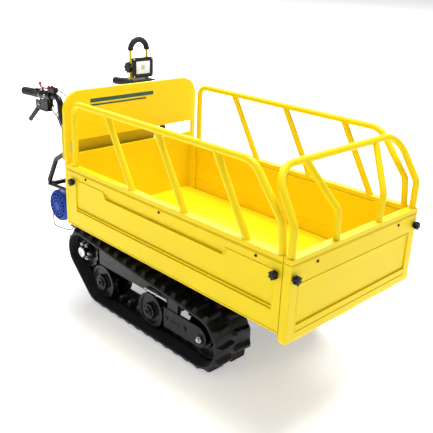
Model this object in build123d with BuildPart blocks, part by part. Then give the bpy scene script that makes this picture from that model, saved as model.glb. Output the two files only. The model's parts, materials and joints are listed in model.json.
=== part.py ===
import math
import os

from build123d import *

# Power wheelbarrow: a tracked electric mini dumper with a drop-sided tipping tub.
# Millimetres. +X runs to the front (dump) end, +Y to the machine's left, +Z up, ground at Z = 0.

# Tub
TUB_LENGTH = 1200.0
TUB_WIDTH = 708.0
TUB_BASE_Z = 360.0  # underside of the side panels
PANEL_TOP_Z = 604.0
PANEL_DEPTH = 34.0
PANEL_SKIN = 3.0
FRONT_DROP = 30.0  # the front panel hangs this far below the side panels
JOINT_GAP = 2.0
FLOOR_TOP_Z = 390.0
FLOOR_SHEET = 4.0
EMBOSS = 4.0
EMBOSS_LOW = 77.0  # emboss band heights above the panel's underside
EMBOSS_HIGH = 210.0
EMBOSS_STEP = 181.0
SIDE_MARGIN = 60.0

# Railings
RAIL_RADIUS = 12.5
RAIL_WALL = 2.0
RAIL_TOP_Z = 880.0
RAIL_KINK_Z = 722.0
RAIL_BASE_W = 30.0
RAIL_BASE_H = 17.0
RAIL_LIFT = 2.0
RAIL_BEND = 45.0
SIDE_RAIL_FRONT_LEAN = 126.0
STRUT_LEAN = 162.0
FRONT_RAIL_TOP_Z = 875.0
FRONT_RAIL_LEAN = 95.0
FRONT_RAIL_TAPER = 10.0
STRUT_SLIM = 0.6  # the front struts are this much thinner in radius than the hoop
RAIL_CORNER = 82.0  # bend at the railings' front top corners

# Rear wall
WALL_TOP_Z = 918.0
WALL_CORNER = 80.0
SLOT_LOW_Z = 660.0
SLOT_HIGH_Z = 715.0
SLOT_END = 20.0
WALL_DEPTH = 16.0

# Tracks
TRACK_WIDTH = 180.0
TRACK_OUTER_Y = 315.0
SPROCKET_AT = (-595.0, 215.0)
SPROCKET_R = 79.0  # inner radius of the belt round the sprocket
ROLLER_R = 76.0
ROLLER_XS = (-479.0, -153.0)
IDLER_X = 160.0
IDLER_R = 96.0
BELT = 11.0
LUG = 18.0
LUG_PITCH_NOMINAL = 60.0
GUIDE_H = 26.0
GUIDE_W = 36.0
WHEEL_GAP = 0.5  # wheel rims stay this far off the belt

# Chassis and pivots
RAIL_Y = 95.0
CHASSIS_TOP = 322.0
CHASSIS_LOW = 262.0
DECK_TOP = 291.0
TILT_PIVOT = (250.0, 335.0)
CYL_BASE = (-1.2, 105.4)
CYL_EYE = (117.3, 344.4)
SIDE_HINGE = (326.0, 351.0)  # |y| and z of the drop-side hinge line
FRONT_HINGE = (576.0, 321.0)  # x and z of the front panel's hinge line
PIN_FIT = 0.05

# Handlebar
BAR_Y = 253.0
BAR_R = 14.0
BAR_END = (-1097.0, 835.5)
BAR_ELBOW = (-798.0, 853.0)
GRIP_LENGTH = 108.0

# Work lamp
LAMP_Y = 225.0
LAMP_AXIS = (-868.0, 938.0)
LAMP_HALF = 48.0
HOOP_Z = 1015.0

# Knobs
KNOB_R = 15.5
KNOB_REACH = 22.0
STUD_R = 5.0
KNOB_Z = 560.0
SIDE_KNOB_XS = (-553.0, 544.0)
FRONT_KNOB_Y = 339.0

HALF_L = TUB_LENGTH / 2
HALF_W = TUB_WIDTH / 2
SIDE_FRONT_X = HALF_L - PANEL_DEPTH  # the side panels stop here
FRONT_BASE_Z = TUB_BASE_Z - FRONT_DROP
TRACK_MID_Y = TRACK_OUTER_Y - TRACK_WIDTH / 2
TRACK_INNER_Y = TRACK_OUTER_Y - TRACK_WIDTH
ROLLER_Z = ROLLER_R + BELT + LUG
IDLER_Z = IDLER_R + BELT + LUG
SIDES = {"right": -1, "left": 1}

# The finished part stands with the middle of its bounding box over the origin.
REAR_END = BAR_END[0] - 5.1
FRONT_END = HALF_L + KNOB_REACH + 0.3
SHIFT_X = -(REAR_END + FRONT_END) / 2

os.makedirs("parts", exist_ok=True)


def save(part, name):
    part.label = name
    moved = Pos(SHIFT_X, 0, 0) * part
    moved.label = name
    export_step(moved, "parts/" + name + ".step")


def block(x, y, z, mode=Mode.ADD):
    with Locations(((x[0] + x[1]) / 2, (y[0] + y[1]) / 2, (z[0] + z[1]) / 2)):
        Box(abs(x[1] - x[0]), abs(y[1] - y[0]), abs(z[1] - z[0]), mode=mode)


def both(s, low, high):
    return (s * low, s * high)


def barrel_y(x, z, y, r, mode=Mode.ADD):
    with Locations(Location((x, (y[0] + y[1]) / 2, z), (90, 0, 0))):
        Cylinder(r, abs(y[1] - y[0]), mode=mode)


def barrel_x(x, y, z, r, mode=Mode.ADD):
    with Locations(Location(((x[0] + x[1]) / 2, y, z), (0, 90, 0))):
        Cylinder(r, abs(x[1] - x[0]), mode=mode)


def tube(points, bend, r, mode=Mode.ADD):
    with BuildLine(mode=Mode.PRIVATE) as path:
        if len(points) > 2:
            FilletPolyline(*points, radius=bend)
        else:
            Line(*points)
    wire = path.wire()
    with BuildSketch(Plane(origin=wire @ 0, z_dir=wire % 0)) as ring:
        Circle(r)
    sweep(sections=ring.sketch, path=wire, mode=mode)


def belt_loop(offset):
    # Taut loop round sprocket, rear roller and idler, offset outwards from their rims.
    rounds = (
        (SPROCKET_AT[0], SPROCKET_AT[1], SPROCKET_R),
        (ROLLER_XS[0], ROLLER_Z, ROLLER_R),
        (IDLER_X, IDLER_Z, IDLER_R),
    )
    with BuildSketch(mode=Mode.PRIVATE) as loop:
        with BuildLine():
            for cx, cz, r in rounds:
                CenterArc((cx, cz), r + offset, 0, 360)
        make_hull()
    return loop.sketch.face()


# Rubber tracks: a smooth carcass, outer lugs in two staggered rows and inner guide lugs.
mid = belt_loop(BELT).outer_wire()
count = round(mid.length / LUG_PITCH_NOMINAL)


def lug_row(y_from, y_to, phase, deep, wide_in, wide_out, inward=False):
    with BuildSketch(Plane.XZ.offset(-y_from)) as row:
        for i in range(count):
            t = ((i + phase) / count) % 1.0
            at = mid.position_at(t)
            along = mid.tangent_at(t)
            turn = math.degrees(math.atan2(along.Y, along.X))
            # The normal is turned so that the wide foot always sits in the carcass.
            nx, nz = along.Y, -along.X
            side = 1 if nx * (at.X + 220) + nz * (at.Y - 150) > 0 else -1
            if inward:
                side = -side
            foot = -1.0 if not inward else BELT - 1.0
            reach = deep + 1.0
            cx = at.X + side * nx * (foot + reach / 2)
            cz = at.Y + side * nz * (foot + reach / 2)
            with Locations(Location((cx, cz), turn)):
                Rectangle((wide_in + wide_out) / 2, reach)
    extrude(row.sketch, amount=y_from - y_to)


for side, s in SIDES.items():
    y_low, y_high = sorted((s * TRACK_INNER_Y, s * TRACK_OUTER_Y))
    centre = s * TRACK_MID_Y
    with BuildPart() as track:
        with BuildSketch(Plane.XZ.offset(-y_high)):
            add(belt_loop(BELT))
            add(belt_loop(0), mode=Mode.SUBTRACT)
        extrude(amount=TRACK_WIDTH)
        lug_row(y_high, centre, 0.0, LUG, 24, 18)
        lug_row(centre, y_low, 0.5, LUG, 24, 18)
        lug_row(centre + GUIDE_W / 2, centre - GUIDE_W / 2, 0.25, GUIDE_H, 26, 14, True)
    save(track.part, "track_" + side)

print("belt length", round(mid.length), "pitches", count)


# Rolling gear inside each belt loop, all on axes along Y.
def wheel(centre, x, z, rim, half, hub_r, bore, spokes=0):
    # Two rim discs astride the guide lugs on a drum, with a bore for the axle.
    with BuildPart() as body:
        barrel_y(x, z, (centre - half, centre + half), hub_r)
        for sign in (-1, 1):
            disc = sorted((centre + sign * 28, centre + sign * (half - 8)))
            barrel_y(x, z, disc, rim)
            dish = sorted((centre + sign * (half - 14), centre + sign * (half - 8)))
            barrel_y(x, z, dish, rim - 14, Mode.SUBTRACT)
            barrel_y(x, z, sorted((centre + sign * 28, centre + sign * half)), hub_r)
        if spokes:
            for i in range(spokes):
                a = 2 * math.pi * i / spokes
                px, pz = x + (rim + 4) * math.cos(a), z + (rim + 4) * math.sin(a)
                barrel_y(px, pz, (centre - half, centre + half), 11, Mode.SUBTRACT)
        if bore:
            barrel_y(x, z, (centre - half, centre + half), bore, Mode.SUBTRACT)
    return body.part


AXLE_R = 15.0
SHAFT_R = 17.5
for side, s in SIDES.items():
    centre = s * TRACK_MID_Y
    for n, x in enumerate(ROLLER_XS):
        rim = ROLLER_R - WHEEL_GAP
        roller = wheel(centre, x, ROLLER_Z, rim, 60, 34, AXLE_R + PIN_FIT)
        save(roller, ("rear", "front")[n] + "_roller_" + side)
    idler = wheel(centre, IDLER_X, IDLER_Z, IDLER_R - WHEEL_GAP, 50, 42, AXLE_R + PIN_FIT)
    save(idler, "idler_" + side)
    with BuildPart() as sprocket:
        add(wheel(centre, *SPROCKET_AT, SPROCKET_R - WHEEL_GAP, 56, 44, 0, 14))
        barrel_y(*SPROCKET_AT, both(s, 101, TRACK_MID_Y), SHAFT_R)
        barrel_y(*SPROCKET_AT, both(s, TRACK_MID_Y, TRACK_OUTER_Y - 12), 24)
        with Locations(*[
            Location(
                (
                    SPROCKET_AT[0] + 33 * math.cos(math.radians(60 * i)),
                    s * (TRACK_MID_Y + 60),
                    SPROCKET_AT[1] + 33 * math.sin(math.radians(60 * i)),
                ),
                (90, 0, 0),
            )
            for i in range(6)
        ]):
            Cylinder(5, 10)
    save(sprocket.part, "sprocket_" + side)

# Track frames: a channel under the belt's top run, roller arms and axles, idler fork.
top_slope = (SPROCKET_AT[1] + SPROCKET_R - IDLER_Z - IDLER_R) / (SPROCKET_AT[0] - IDLER_X)


def under_run(x, gap):
    # Height of the underside of the belt's top run at x, less a gap.
    lean = math.hypot(1, top_slope)
    return IDLER_Z + IDLER_R * lean + top_slope * (x - IDLER_X) - gap


BEAM_X = (-496.0, 44.0)
BEAM_LOW = 187.0
FORK_REAR = -48.0  # rear edge of the idler fork plates
for side, s in SIDES.items():
    with BuildPart() as beam:
        for low, high, gap in ((165, 181, 9), (262, 280, 9), (165, 280, 48)):
            y_high = max(both(s, low, high))
            with BuildSketch(Plane.XZ.offset(-y_high)):
                with BuildLine():
                    Polyline(
                        (BEAM_X[0], BEAM_LOW),
                        (BEAM_X[1], BEAM_LOW),
                        (BEAM_X[1], max(BEAM_LOW + 8, under_run(BEAM_X[1], gap))),
                        (BEAM_X[0], max(BEAM_LOW + 8, under_run(BEAM_X[0], gap))),
                        close=True,
                    )
                make_face()
            extrude(amount=high - low)
        for x in ROLLER_XS:
            block((x - 30, x + 30), both(s, 146, 156), (ROLLER_Z - 26, 225))
            barrel_y(x, ROLLER_Z, both(s, 146, 288), AXLE_R)
            barrel_y(x, ROLLER_Z, both(s, 286.5, 293), 22)
        block(BEAM_X, both(s, 146, 166), (BEAM_LOW, 204))
        for low, high in ((156, 164), (284, 292)):
            y_high = max(both(s, low, high))
            with BuildSketch(Plane.XZ.offset(-y_high)):
                with Locations(((FORK_REAR + IDLER_X - 11) / 2, IDLER_Z + 5)):
                    Rectangle(IDLER_X - 11 - FORK_REAR, 84)
                with Locations((IDLER_X - 11, IDLER_Z + 5)):
                    Circle(42)
            extrude(amount=high - low)
        block((-30, 30), both(s, 278, 290), (IDLER_Z + 20, 222))
        block((-30, 30), both(s, 160, 168), (IDLER_Z + 20, 200))
        barrel_y(IDLER_X, IDLER_Z, both(s, 158, 290), AXLE_R)
        barrel_y(IDLER_X, IDLER_Z, both(s, 290, 299), 19)
    save(beam.part, "track_frame_" + side)

    # Chrome belt tensioner: a threaded rod through two lugs on the frame's outer face.
    with BuildPart() as tensioner:
        ten_z = 205.0
        barrel_x((-168, -30.5), s * 290.2, ten_z, 5)
        for x in (-160, -96, -41):
            with BuildSketch(Plane.YZ.offset(x)):
                with Locations((s * 290.2, ten_z)):
                    RegularPolygon(9.5, 6)
            extrude(amount=9)
    save(tensioner.part, "tensioner_" + side)

# Main frame between the tracks, with rear deck, tilt ears and cylinder bracket.
with BuildPart() as frame:
    for s in SIDES.values():
        y = both(s, RAIL_Y - 25, RAIL_Y + 25)
        block((-700, 300), y, (CHASSIS_LOW, CHASSIS_TOP))
        block((-700, 300), both(s, RAIL_Y - 21, RAIL_Y + 21), (266, 318), Mode.SUBTRACT)
        block((-872, -700), y, (CHASSIS_LOW, DECK_TOP))
        # Bearing carriers for the drive shafts.
        block((-640, -550), both(s, 105, 122), (160, CHASSIS_LOW))
        barrel_y(*SPROCKET_AT, both(s, 105, 150), 34)
        barrel_y(*SPROCKET_AT, both(s, 100, 155), SHAFT_R + PIN_FIT, Mode.SUBTRACT)
        for x in (-400, -30):
            block((x - 25, x + 25), y, (180, CHASSIS_LOW))
        # Ears that carry the tilt pin.
        with BuildSketch(Plane.XZ.offset(-max(both(s, 72, 88)))):
            with Locations(TILT_PIVOT):
                Circle(19)
            with Locations((TILT_PIVOT[0], (CHASSIS_TOP + TILT_PIVOT[1]) / 2 - 4)):
                Rectangle(38, TILT_PIVOT[1] - CHASSIS_TOP + 8)
        extrude(amount=16)
        block((TILT_PIVOT[0] - 19, TILT_PIVOT[0] + 19), both(s, 70, 90), (316, 324))
    barrel_y(*TILT_PIVOT, (-135, 135), 10)
    for x in (-400, -30):
        block((x - 25, x + 25), (-146, 146), (180, 225))
    block((-700, -684), (-120, 120), (CHASSIS_LOW, CHASSIS_TOP))
    block((284, 300), (-120, 120), (CHASSIS_LOW, CHASSIS_TOP))
    block((-872, -682), (-124, 124), (DECK_TOP - 8, DECK_TOP))
    block((-736, -682), (-268, 268), (DECK_TOP - 8, DECK_TOP))
    for s in SIDES.values():
        # Cylinder base bracket hanging from the forward cross tube.
        block((-52, 20), both(s, 27, 35), (88, 182))
    barrel_y(*CYL_BASE, (-35, 35), 8)
save(frame.part, "main_frame")

# Drive: transaxle between the shafts, electric motor across the rear, reduction case.
with BuildPart() as transaxle:
    block((-652, -538), (-99, 99), (150, 258))
    fillet(transaxle.edges().filter_by(Axis.Y), 18)
    block((-612, -578), (-30, 30), (120, 150))
    barrel_y(*SPROCKET_AT, (-99, 99), 44)
save(transaxle.part, "transaxle")

MOTOR_AT = (-790.0, 371.0)
with BuildPart() as motor:
    barrel_y(*MOTOR_AT, (-258, -126), 64)
    for i in range(24):
        a = math.radians(15 * i)
        with Locations(Location(
            (MOTOR_AT[0] + 66 * math.cos(a), -190, MOTOR_AT[1] + 66 * math.sin(a)),
            (0, -15 * i, 0),
        )):
            Box(8, 104, 2.4)
    barrel_y(*MOTOR_AT, (-134, -126), 71)
    block((-772, -728), (-244, -176), (DECK_TOP + 1, 330))
    barrel_y(*MOTOR_AT, (-284, -258), 7)
save(motor.part, "drive_motor")

with BuildPart() as cover:
    barrel_y(*MOTOR_AT, (-300, -246), 72)
    barrel_y(*MOTOR_AT, (-297, -240), 69.5, Mode.SUBTRACT)
    with BuildSketch(Plane.XZ.offset(294)):
        with Locations(MOTOR_AT):
            for r in (24, 40, 56):
                Circle(r + 4)
                Circle(r - 4, mode=Mode.SUBTRACT)
            Rectangle(150, 7, mode=Mode.SUBTRACT)
            Rectangle(7, 150, mode=Mode.SUBTRACT)
            with Locations(Location((0, 0), 45)):
                Rectangle(150, 6, mode=Mode.SUBTRACT)
                Rectangle(6, 150, mode=Mode.SUBTRACT)
    extrude(amount=8, mode=Mode.SUBTRACT)
save(cover.part, "motor_cover")

with BuildPart() as fan:
    barrel_y(*MOTOR_AT, (-290, -264), 16)
    for i in range(7):
        a = 360 / 7 * i
        with Locations(Location((MOTOR_AT[0], -277, MOTOR_AT[1]), (0, a, 0))):
            with Locations((38, 0, 0)):
                Box(50, 20, 3)
    barrel_y(*MOTOR_AT, (-290, -264), 7 + PIN_FIT, Mode.SUBTRACT)
save(fan.part, "motor_fan")

with BuildPart() as case:
    block((-858, -712), (-122, -62), (DECK_TOP + 0.5, 442))
    fillet(case.edges().filter_by(Axis.Y), 30)
    block((-830, -740), (-125.5, -60), (310, 420))
save(case.part, "reduction_case")

# Battery box with the motor controller on top, and the yellow hood over them.
with BuildPart() as battery:
    block((-684, -648), (-215, 215), (DECK_TOP + 45, 590))
    block((-742, -684), (-215, 215), (450, 590))
    fillet(battery.edges().filter_by(Axis.Y).sort_by(Axis.Z)[-2:], 8)
    for s in SIDES.values():
        block((-682, -662), both(s, 88, 118), (CHASSIS_TOP, DECK_TOP + 46))
    block((-715, -655), (-80, 100), (594, 668))
    block((-708, -662), (-60, 80), (588, 596))
save(battery.part, "battery_box")

HOOD_X = (-722.0, -632.0)
HOOD_Y = (-300.0, 130.0)
HOOD_Z = (604.0, 762.0)
with BuildPart() as hood:
    block(HOOD_X, HOOD_Y, HOOD_Z)
    fillet(hood.edges().filter_by(Axis.Y).sort_by(Axis.Z)[-2:], 18)
    block((HOOD_X[0] - 1, HOOD_X[1] - 3), (HOOD_Y[0] + 3, 28), (HOOD_Z[0] - 1, HOOD_Z[1] - 3),
          Mode.SUBTRACT)
    block((HOOD_X[0] - 1, HOOD_X[1] - 3), (25, HOOD_Y[1] - 3), (670, HOOD_Z[1] - 3),
          Mode.SUBTRACT)
    block((HOOD_X[0] - 1, HOOD_X[1] - 3), (25, HOOD_Y[1] - 3), (HOOD_Z[0] - 1, 672),
          Mode.SUBTRACT)
    for y in (-150, 103):
        block((-700, HOOD_X[1]), (y, y + 22), (590, 604))
        block((-649, HOOD_X[1]), (y, y + 22), (590, 612))
save(hood.part, "hood")

# Tub: floor tray on folded channels, corner gussets, hinge arms and pins, cylinder clevis.
FLOOR_HALF = HALF_W - PANEL_DEPTH - 2
FLOOR_FRONT = SIDE_FRONT_X - 3
KNUCKLE_XS = (-420.0, 0.0, 420.0)
FRONT_KNUCKLE_YS = (-240.0, 0.0, 240.0)
with BuildPart() as tub:
    block((-HALF_L - 2, FLOOR_FRONT), (-FLOOR_HALF, FLOOR_HALF),
          (FLOOR_TOP_Z - FLOOR_SHEET, FLOOR_TOP_Z))
    for s in SIDES.values():
        block((-HALF_L - 2, FLOOR_FRONT), both(s, 290, FLOOR_HALF), (346, FLOOR_TOP_Z))
        block((-HALF_L + 2, FLOOR_FRONT - 4), both(s, 286, FLOOR_HALF - 4),
              (350, FLOOR_TOP_Z - FLOOR_SHEET), Mode.SUBTRACT)
        for x0, x1 in ((-HALF_L - 2, -548), (524, FLOOR_FRONT)):
            block((x0, x1), both(s, FLOOR_HALF - 3, FLOOR_HALF), (FLOOR_TOP_Z - 2, 598))
        # Tilt lugs.
        with BuildSketch(Plane.XZ.offset(-max(both(s, 122, 132)))):
            with Locations(TILT_PIVOT):
                Circle(20)
            with Locations((TILT_PIVOT[0], (TILT_PIVOT[1] + 388) / 2)):
                Rectangle(40, 388 - TILT_PIVOT[1])
            with Locations(TILT_PIVOT):
                Circle(10 + PIN_FIT, mode=Mode.SUBTRACT)
        extrude(amount=10)
        for x in KNUCKLE_XS:
            for x0 in (x - 60, x + 31):
                block((x0, x0 + 29), both(s, 300, SIDE_HINGE[0]), (344, 349.5))
                barrel_x((x0, x0 + 29), s * SIDE_HINGE[0], SIDE_HINGE[1], 7)
            barrel_x((x - 60, x + 60), s * SIDE_HINGE[0], SIDE_HINGE[1], 4)
    for x in (-560, -200, 480):
        block((x - 20, x + 20), (-292, 292), (346, FLOOR_TOP_Z - 2))
        block((x - 16, x + 16), (-300, 300), (350, FLOOR_TOP_Z - FLOOR_SHEET), Mode.SUBTRACT)
    block((95, 140), (-292, 292), (372, FLOOR_TOP_Z - 2))
    for s in SIDES.values():
        with BuildSketch(Plane.XZ.offset(-max(both(s, 13, 21)))):
            with Locations(CYL_EYE):
                Circle(17)
            with Locations((CYL_EYE[0], (CYL_EYE[1] + 374) / 2)):
                Rectangle(34, 374 - CYL_EYE[1])
        extrude(amount=8)
        barrel_y(*CYL_EYE, both(s, 20, 27), 9)
    block((FLOOR_FRONT - 36, FLOOR_FRONT), (-292, 292), (346, FLOOR_TOP_Z - 2))
    block((FLOOR_FRONT - 32, FLOOR_FRONT - 4), (-300, 300), (350, FLOOR_TOP_Z - FLOOR_SHEET),
          Mode.SUBTRACT)
    for y in FRONT_KNUCKLE_YS:
        for y0 in (y - 50, y + 26):
            block((FLOOR_FRONT - 30, FLOOR_FRONT - 22), (y0, y0 + 24), (314, 350))
            block((FLOOR_FRONT - 30, FRONT_HINGE[0]), (y0, y0 + 24), (314, 320))
            barrel_y(*FRONT_HINGE, (y0, y0 + 24), 7)
        barrel_y(*FRONT_HINGE, (y - 50, y + 50), 4)
save(tub.part, "tub_floor")

# Rear wall: one folded sheet with a long slot and rounded upper corners.
WALL_FACE_X = -HALF_L - JOINT_GAP
with BuildPart() as wall:
    for grow, x_face, depth, mode in (
        (0, WALL_FACE_X, WALL_DEPTH, Mode.ADD),
        (-PANEL_SKIN, WALL_FACE_X - PANEL_SKIN, WALL_DEPTH, Mode.SUBTRACT),
    ):
        with BuildSketch(Plane.YZ.offset(x_face)) as outline:
            with Locations((0, (TUB_BASE_Z + WALL_TOP_Z) / 2)):
                Rectangle(TUB_WIDTH + 2 * grow, WALL_TOP_Z - TUB_BASE_Z + 2 * grow)
            fillet(outline.vertices().sort_by(Axis.Y)[-2:], WALL_CORNER + grow)
        extrude(amount=-depth, mode=mode)
    for grow, mode, depth in ((PANEL_SKIN, Mode.ADD, 12), (0, Mode.SUBTRACT, PANEL_DEPTH)):
        with BuildSketch(Plane.YZ.offset(WALL_FACE_X)):
            with Locations((0, (SLOT_LOW_Z + SLOT_HIGH_Z) / 2)):
                RectangleRounded(TUB_WIDTH - 2 * SLOT_END + 2 * grow,
                                 SLOT_HIGH_Z - SLOT_LOW_Z + 2 * grow, 10 + grow)
        extrude(amount=-depth, mode=mode)
save(wall.part, "rear_wall")


# Drop sides: hollow folded panels with embossed faces, each with its railing on top.
for side, s in SIDES.items():
    y_in, y_out = HALF_W - PANEL_DEPTH, HALF_W
    low, high = TUB_BASE_Z, PANEL_TOP_Z
    face_x = (-HALF_L + SIDE_MARGIN, SIDE_FRONT_X - SIDE_MARGIN + 27)
    bead_x = (-HALF_L + 268, SIDE_FRONT_X - 252)
    with BuildPart() as panel:
        block((-HALF_L, SIDE_FRONT_X), both(s, y_in, y_out), (low, high))
        outer_edges = panel.edges().filter_by(Axis.X)
        fillet(outer_edges, 3)
        block(face_x, both(s, y_out - EMBOSS, y_out + 1), (low + EMBOSS_LOW, low + EMBOSS_HIGH),
              Mode.SUBTRACT)
        block(bead_x, both(s, y_out - 2 * EMBOSS, y_out + 1),
              (low + EMBOSS_STEP, low + EMBOSS_HIGH), Mode.SUBTRACT)
        block(face_x, both(s, y_in - 1, y_in + EMBOSS), (low + EMBOSS_LOW, low + EMBOSS_STEP),
              Mode.SUBTRACT)
        block((-HALF_L + 10, SIDE_FRONT_X - 10),
              both(s, y_in + EMBOSS + PANEL_SKIN, y_out - 2 * EMBOSS - PANEL_SKIN),
              (low + 10, high - 10), Mode.SUBTRACT)
        with Locations((-300, s * (y_in + 17), low + 5), (300, s * (y_in + 17), low + 5)):
            Cylinder(4, 12, mode=Mode.SUBTRACT)
        for x in SIDE_KNOB_XS:
            barrel_y(x, KNOB_Z, both(s, y_in + 5, y_out - 1), STUD_R + 5)
            barrel_y(x, KNOB_Z, both(s, y_in - 1, y_out + 1), STUD_R + PIN_FIT, Mode.SUBTRACT)
        for x in KNUCKLE_XS:
            block((x - 29, x + 29), both(s, SIDE_HINGE[0] - 1.5, SIDE_HINGE[0] + 6), (354, low + 2))
            barrel_x((x - 29, x + 29), s * SIDE_HINGE[0], SIDE_HINGE[1], 7)
            barrel_x((x - 30, x + 30), s * SIDE_HINGE[0], SIDE_HINGE[1], 4 + PIN_FIT,
                     Mode.SUBTRACT)
    save(panel.part, "side_panel_" + side)

    rail_y = s * (HALF_W - RAIL_BASE_W / 2)
    base_z = (PANEL_TOP_Z + RAIL_LIFT, PANEL_TOP_Z + RAIL_LIFT + RAIL_BASE_H)
    rear_x, kink_x, foot_x = -HALF_L + 45, SIDE_FRONT_X - 26, SIDE_FRONT_X - 14
    front_x = kink_x - SIDE_RAIL_FRONT_LEAN
    runs = [[
        (rear_x, rail_y, base_z[0] + 6),
        (rear_x, rail_y, RAIL_TOP_Z),
        (front_x, rail_y, RAIL_TOP_Z),
        (kink_x, rail_y, RAIL_KINK_Z),
        (foot_x, rail_y, base_z[0] + 6),
    ]]
    span = front_x + 3 - (-335)
    for i in range(3):
        top_x = -335 + i * (span - 168) / 2
        runs.append([
            (top_x, rail_y, RAIL_TOP_Z),
            (top_x + STRUT_LEAN, rail_y, base_z[0] + 6),
        ])
    with BuildPart() as railing:
        block((-HALF_L, SIDE_FRONT_X), both(s, HALF_W - RAIL_BASE_W, HALF_W), base_z)
        for r, mode in ((RAIL_RADIUS, Mode.ADD), (RAIL_RADIUS - RAIL_WALL, Mode.SUBTRACT)):
            tube(runs[0], (RAIL_BEND, RAIL_CORNER, RAIL_BEND), r, mode)
            for run in runs[1:]:
                tube(run, RAIL_BEND, r, mode)
        block((-HALF_L - 1, SIDE_FRONT_X + 1),
              both(s, HALF_W - RAIL_BASE_W + RAIL_WALL, HALF_W - RAIL_WALL),
              (base_z[0] + RAIL_WALL, base_z[1] - RAIL_WALL), Mode.SUBTRACT)
        for x in (-465, -7, 459):
            block((x - 20, x + 20), both(s, y_in - 4, y_in + 8), (base_z[0], base_z[0] + 3))
            block((x - 20, x + 20), both(s, y_in - 4, y_in - 1), (568, base_z[0] + 3))
    save(railing.part, "side_railing_" + side)

# Front drop panel and its railing.
with BuildPart() as front:
    x_in, x_out = HALF_L - 32, HALF_L
    block((x_in, x_out), (-HALF_W, HALF_W), (FRONT_BASE_Z, PANEL_TOP_Z))
    fillet(front.edges().filter_by(Axis.Z), 3)
    fillet(front.edges().filter_by(Axis.X).sort_by(Axis.Z)[:2], 14)
    block((x_out - EMBOSS, x_out + 1), (-HALF_W + 42, HALF_W - 42),
          (FRONT_BASE_Z + 62, TUB_BASE_Z + 172), Mode.SUBTRACT)
    block((x_in - 1, x_in + EMBOSS), (-HALF_W + 70, HALF_W - 70),
          (FRONT_BASE_Z + 100, TUB_BASE_Z + 172), Mode.SUBTRACT)
    block((x_in + EMBOSS + PANEL_SKIN, x_out - EMBOSS - PANEL_SKIN), (-HALF_W + 20, HALF_W - 20),
          (FRONT_BASE_Z + 10, PANEL_TOP_Z - 10), Mode.SUBTRACT)
    with Locations((x_in + 16, -200, FRONT_BASE_Z + 5), (x_in + 16, 200, FRONT_BASE_Z + 5)):
        Cylinder(4, 12, mode=Mode.SUBTRACT)
    for s in SIDES.values():
        barrel_x((x_in, x_out), s * FRONT_KNOB_Y, KNOB_Z, STUD_R + PIN_FIT, Mode.SUBTRACT)
    for y in FRONT_KNUCKLE_YS:
        block((FRONT_HINGE[0] - 5, FRONT_HINGE[0] + 5), (y - 25, y + 25),
              (FRONT_HINGE[1] + 4, FRONT_BASE_Z + 2))
        barrel_y(*FRONT_HINGE, (y - 25, y + 25), 7)
        barrel_y(*FRONT_HINGE, (y - 26, y + 26), 4 + PIN_FIT, Mode.SUBTRACT)
save(front.part, "front_panel")

rail_x = HALF_L - RAIL_BASE_W / 2
base_z = (PANEL_TOP_Z + RAIL_LIFT, PANEL_TOP_Z + RAIL_LIFT + RAIL_BASE_H)
lean_x = rail_x - FRONT_RAIL_LEAN
foot_y = HALF_W - RAIL_BASE_W / 2
top_y = foot_y - FRONT_RAIL_TAPER
with BuildPart() as railing:
    block((HALF_L - RAIL_BASE_W, HALF_L), (-HALF_W, HALF_W), base_z)
    runs = [[
        (rail_x, -foot_y, base_z[0] + 6),
        (rail_x, -foot_y, RAIL_KINK_Z),
        (lean_x, -top_y, FRONT_RAIL_TOP_Z),
        (lean_x, top_y, FRONT_RAIL_TOP_Z),
        (rail_x, foot_y, RAIL_KINK_Z),
        (rail_x, foot_y, base_z[0] + 6),
    ]]
    for s in SIDES.values():
        runs.append([
            (rail_x, s * 118, base_z[0] + 6),
            (rail_x, s * 128, RAIL_KINK_Z),
            (lean_x, s * 189, FRONT_RAIL_TOP_Z),
        ])
    for r, mode in ((RAIL_RADIUS, Mode.ADD), (RAIL_RADIUS - RAIL_WALL, Mode.SUBTRACT)):
        tube(runs[0], (RAIL_BEND, RAIL_CORNER, RAIL_CORNER, RAIL_BEND), r, mode)
        for run in runs[1:]:
            tube(run, RAIL_BEND, r - STRUT_SLIM, mode)
    block((HALF_L - RAIL_BASE_W + RAIL_WALL, HALF_L - RAIL_WALL), (-HALF_W - 1, HALF_W + 1),
          (base_z[0] + RAIL_WALL, base_z[1] - RAIL_WALL), Mode.SUBTRACT)
    for y in (-229, 229):
        block((HALF_L - 36, HALF_L - 24), (y - 20, y + 20), (base_z[0], base_z[0] + 3))
        block((HALF_L - 36, HALF_L - 33), (y - 20, y + 20), (574, base_z[0] + 3))
save(railing.part, "front_railing")


# Star knobs on studs that end inside their own panel.
def star_knob(stud):
    with BuildPart() as knob:
        with BuildSketch(Plane.XY.offset(7)) as star:
            Circle(KNOB_R - 5)
            with PolarLocations(KNOB_R - 5, 6):
                Circle(5)
        extrude(star.sketch, amount=KNOB_REACH - 9)
        Cylinder(9, 7, align=(Align.CENTER, Align.CENTER, Align.MIN))
        with Locations((0, 0, KNOB_REACH - 4)):
            Cylinder(8, 4, align=(Align.CENTER, Align.CENTER, Align.MIN))
        Cylinder(STUD_R, stud, align=(Align.CENTER, Align.CENTER, Align.MAX))
    return knob.part


for side, s in SIDES.items():
    for n, x in enumerate(SIDE_KNOB_XS):
        spot = Plane(origin=(x, s * (HALF_W + 0.3), KNOB_Z), z_dir=(0, s, 0))
        save(spot.location * star_knob(PANEL_DEPTH), ("rear", "front")[n] + "_knob_" + side)
    spot = Plane(origin=(HALF_L + 0.3, s * FRONT_KNOB_Y, KNOB_Z), z_dir=(1, 0, 0))
    save(spot.location * star_knob(30), "panel_knob_" + side)

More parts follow.
